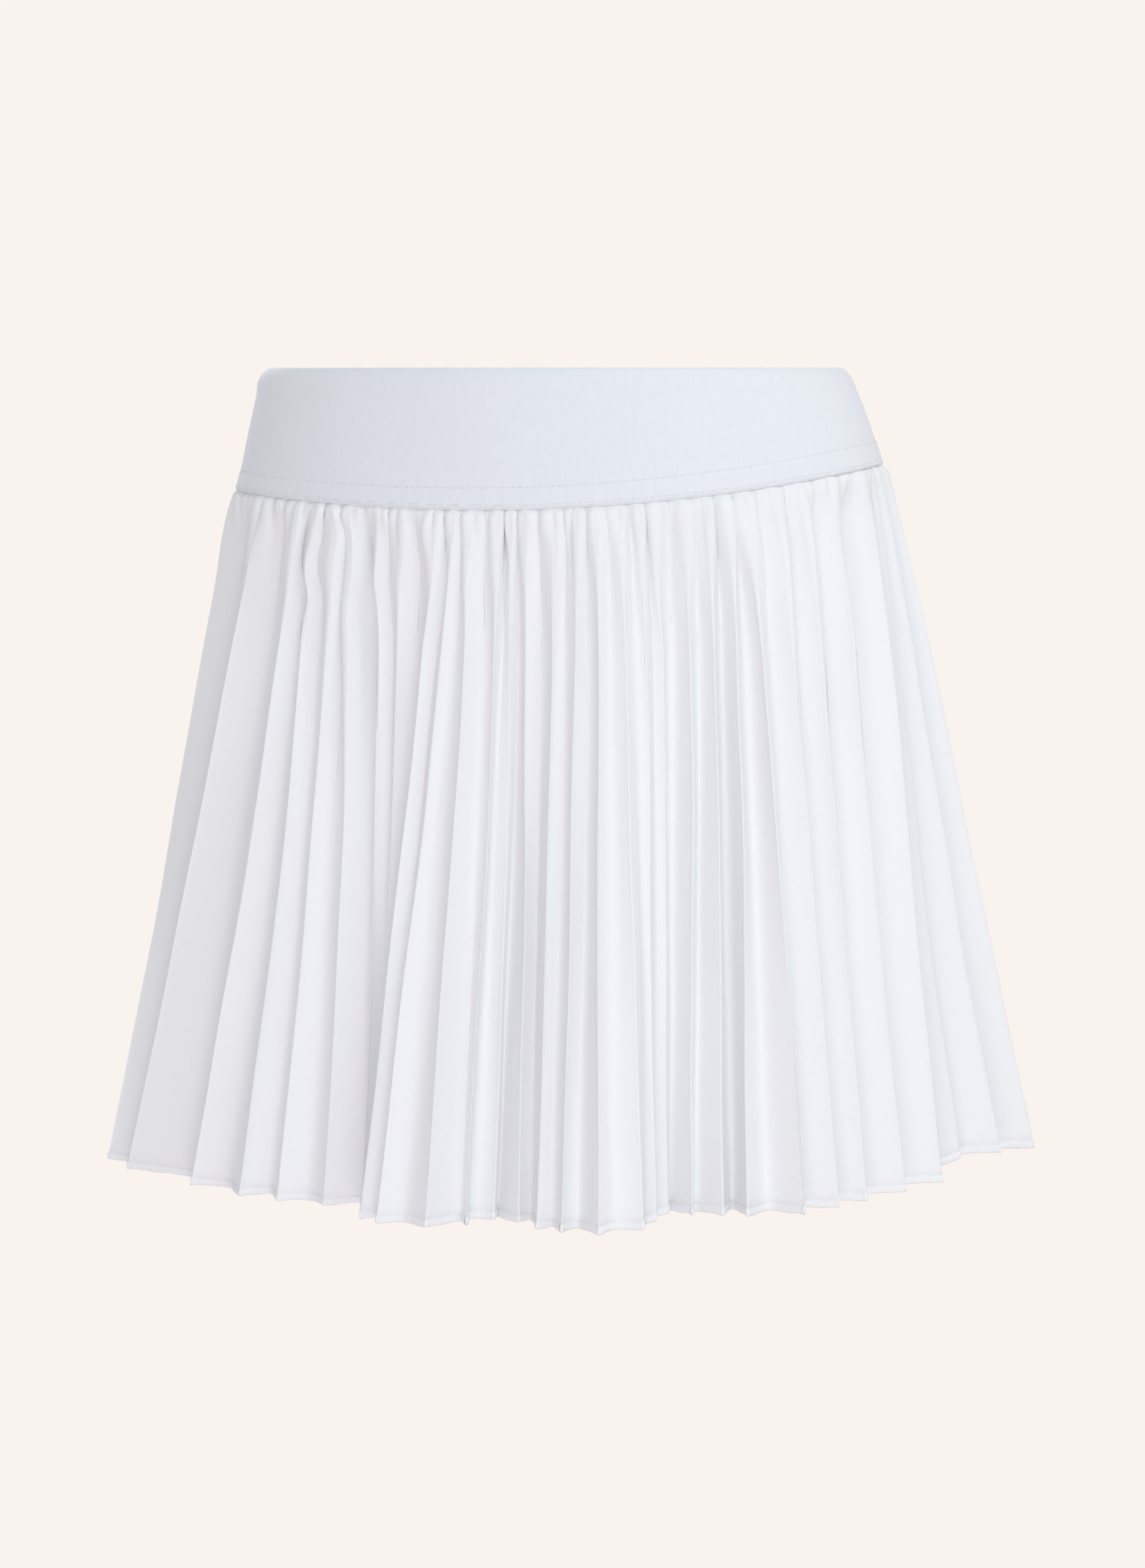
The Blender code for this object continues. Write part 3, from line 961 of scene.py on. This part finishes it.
def overlocked_edge(side, pleats, settings):
    """The hem's overlocked edge: a flat sleeve of thread carried along the hem.

    Its section wraps the cloth's edge, from the outside down, under and up the inside.  The
    threads are waves along the hem that slant as they go up.
    """
    grid, _ = pleated_cloth(side, pleats)
    run = run_along(grid[-1])
    samples_each = 4.0
    fine = np.linspace(0.0, run[-1], int(run[-1] / (settings.pitch / samples_each)))

    def read(line):
        return np.stack([np.interp(fine, run, line[:, axis]) for axis in range(3)], axis=-1)

    hem, above = read(grid[-1]), read(grid[-3])
    along = np.gradient(hem, axis=0)
    facing, _ = unit(np.stack([along[:, 1], -along[:, 0], 0.0 * along[:, 0]], axis=-1))
    rise, _ = unit(above - hem)
    # mm out from the cloth's outside, and up from its edge as a share of the hem's height
    section = np.array([
        (-0.10, 1.05), (0.14, 0.94), (0.20, 0.55), (0.18, 0.12),
        (-0.15, -0.10), (-0.65, -0.12), (-1.02, 0.12), (-1.05, 0.55), (-0.95, 0.92),
        (-0.50, 1.05)])
    out = section[:, :1] * MM
    up = section[:, 1:] * settings.height
    wave = 0.5 + 0.5 * np.sin(2.0 * np.pi * (fine[None] / settings.pitch + 0.30 * section[:, 1:]))
    uneven = ripple(fine[None] / MM, 17.0, 5.0)
    cloth_middle = -0.3
    outside = np.sign(section[:, :1] - cloth_middle)
    proud = (0.26 * wave + 0.05 * uneven) * MM
    proud[[0, -1]] = 0.0
    points = (
        hem[None] + facing[None] * (out + outside * proud)[..., None]
        + rise[None] * (up + settings.height * (0.10 * uneven + 0.05 * wave))[..., None])
    uv = stacked(fine[None], up)
    uv = np.concatenate([uv[:, :1], uv, uv[:, -1:]], axis=1)
    return close_ends(points), uv


class SKIRT_OT_add_hem(bpy.types.Operator):
    """Adds the overlocked edge along the hem"""

    bl_idname = "skirt.add_hem"
    bl_label = "Add Overlocked Hem"

    def execute(self, context):
        settings = context.scene.skirt_hem
        thread = shared_material("sewing_thread", sewing_thread, settings.colour)
        for side in ("front", "back"):
            points, uv = overlocked_edge(side, context.scene.skirt_pleats, settings)
            piece = add_surface("hem_" + side + "_overlock", points, uv, thread, around=True)
            finish_piece(piece, "pleated_weave")
        return {"FINISHED"}


# ---------------- stage


def glowing(name, colour):
    """Material that shows its colour whatever the light."""
    material = bpy.data.materials.new(name)
    material.use_nodes = True
    nodes, links = material.node_tree.nodes, material.node_tree.links
    nodes.remove(nodes["Principled BSDF"])
    light = nodes.new("ShaderNodeEmission")
    light.inputs["Color"].default_value = (*colour, 1.0)
    links.new(light.outputs["Emission"], nodes["Material Output"].inputs["Surface"])
    return material


def turned_surface(reach, height):
    """Points of a surface turned about the upright axis, from a reach and a height per row."""
    turn = np.linspace(0.0, 2.0 * np.pi, 65)[None]
    reach = reach[:, None]
    return stacked(reach * np.cos(turn), reach * np.sin(turn), height[:, None])


def add_stage_surface(name, grid, material):
    """A stage surface that only the camera sees, so that it tints nothing."""
    uv = np.zeros(grid.shape[:2] + (2,))
    surface = add_surface(name, grid, uv, material)
    surface.visible_diffuse = False
    surface.visible_glossy = False
    surface.visible_transmission = False
    surface.visible_shadow = False


def add_area_light(name, place, aim, power, colour):
    """A square light at a place, turned to what it is aimed at."""
    data = bpy.data.lights.new(name, "AREA")
    data.shape = "RECTANGLE"
    data.size = data.size_y = LIGHT_SIZE
    data.energy = power
    data.color = colour
    light = bpy.data.objects.new(name, data)
    light.location = place
    light.rotation_euler = (aim - place).to_track_quat("-Z", "Y").to_euler()
    bpy.context.scene.collection.objects.link(light)


class SKIRT_OT_set_stage(bpy.types.Operator):
    """Adds the floor, the backdrop, the lights and the camera"""

    bl_idname = "skirt.set_stage"
    bl_label = "Set Stage"

    def execute(self, context):
        scene = context.scene
        settings = scene.skirt_stage
        cream = glowing("cream_stage", settings.backdrop)
        floor_height, radius = -1.0, 6.0
        spread = np.linspace(0.02, radius, 8)
        flat = turned_surface(spread, floor_height + 0.0 * spread)
        add_stage_surface("floor", flat, cream)
        rise = np.linspace(0.0, 0.5 * np.pi, 24)
        dome = turned_surface(radius * np.cos(rise), floor_height + radius * np.sin(rise))
        add_stage_surface("backdrop", dome, cream)

        azimuth, pitch = np.radians(settings.azimuth), np.radians(settings.pitch)
        right = Vector((np.cos(azimuth), np.sin(azimuth), 0.0))
        near = Vector((np.sin(azimuth), -np.cos(azimuth), 0.0))
        up = Vector((0.0, 0.0, 1.0))
        data = bpy.data.cameras.new("camera")
        data.lens = settings.lens
        camera = bpy.data.objects.new("camera", data)
        camera.location = near * settings.distance + right * settings.aside + up * RIM_HEIGHT
        look = -near * np.cos(pitch) - up * np.sin(pitch)
        camera.rotation_euler = look.to_track_quat("-Z", "Y").to_euler()
        scene.collection.objects.link(camera)
        scene.camera = camera

        middle = Vector((0.0, 0.0, -0.14))
        # azimuth and elevation from the camera's side of the skirt, power, colour
        for name, side, height, power, colour in (
            ("key", 27.0, 44.0, settings.key, (0.75, 1.0, 0.98)),
            ("side", 100.0, 40.0, settings.side, (1.0, 0.80, 0.76)),
            ("low_front", -3.0, -22.0, settings.low_front, (1.0, 0.88, 0.92)),
            ("low_left", -100.0, -30.0, settings.low_left, (0.4, 0.85, 1.0)),
            ("behind", 190.0, 20.0, settings.behind, (1.0, 0.98, 1.0)),
        ):
            side, height = np.radians(side), np.radians(height)
            out = (right * np.sin(side) + near * np.cos(side)) * np.cos(height)
            out += up * np.sin(height)
            add_area_light(name, middle + out * LIGHT_DISTANCE, middle, power, colour)
        world = bpy.data.worlds.new("soft_light")
        world.use_nodes = True
        background = world.node_tree.nodes["Background"]
        background.inputs["Color"].default_value = (1.0, 0.978, 1.0, 1.0)
        background.inputs["Strength"].default_value = settings.ambient
        scene.world = world
        scene.view_settings.view_transform = "Standard"
        return {"FINISHED"}


# ---------------- add-on


class SKIRT_PT_panel(bpy.types.Panel):
    """Lists the skirt's pieces and their sizes"""

    bl_idname = "SKIRT_PT_panel"
    bl_label = "Pleated Skirt"
    bl_space_type = "VIEW_3D"
    bl_region_type = "UI"
    bl_category = "Skirt"

    def draw(self, context):
        layout = self.layout
        for group, steps in STEPS.items():
            box = layout.box()
            for step in steps:
                box.operator(step.bl_idname)
            settings = getattr(context.scene, group)
            for name in settings.__annotations__:
                box.prop(settings, name)


STEPS = {
    "skirt_stage": (SKIRT_OT_set_stage,),
    "skirt_band": (SKIRT_OT_add_waistband, SKIRT_OT_add_stitches),
    "skirt_pleats": (SKIRT_OT_add_pleats,),
    "skirt_hem": (SKIRT_OT_add_hem,),
}
GROUPS = {
    "skirt_stage": StageSettings,
    "skirt_band": BandSettings,
    "skirt_pleats": PleatSettings,
    "skirt_hem": HemSettings,
}
CLASSES = (
    *GROUPS.values(), *(step for steps in STEPS.values() for step in steps), SKIRT_PT_panel)


def register():
    for item in CLASSES:
        bpy.utils.register_class(item)
    for name, group in GROUPS.items():
        setattr(bpy.types.Scene, name, PointerProperty(type=group))


def unregister():
    for name in GROUPS:
        delattr(bpy.types.Scene, name)
    for item in reversed(CLASSES):
        bpy.utils.unregister_class(item)


def main():
    register()
    bpy.ops.skirt.set_stage()
    bpy.ops.skirt.add_waistband()
    bpy.ops.skirt.add_stitches()
    bpy.ops.skirt.add_pleats()
    bpy.ops.skirt.add_hem()


if __name__ == "__main__":
    main()
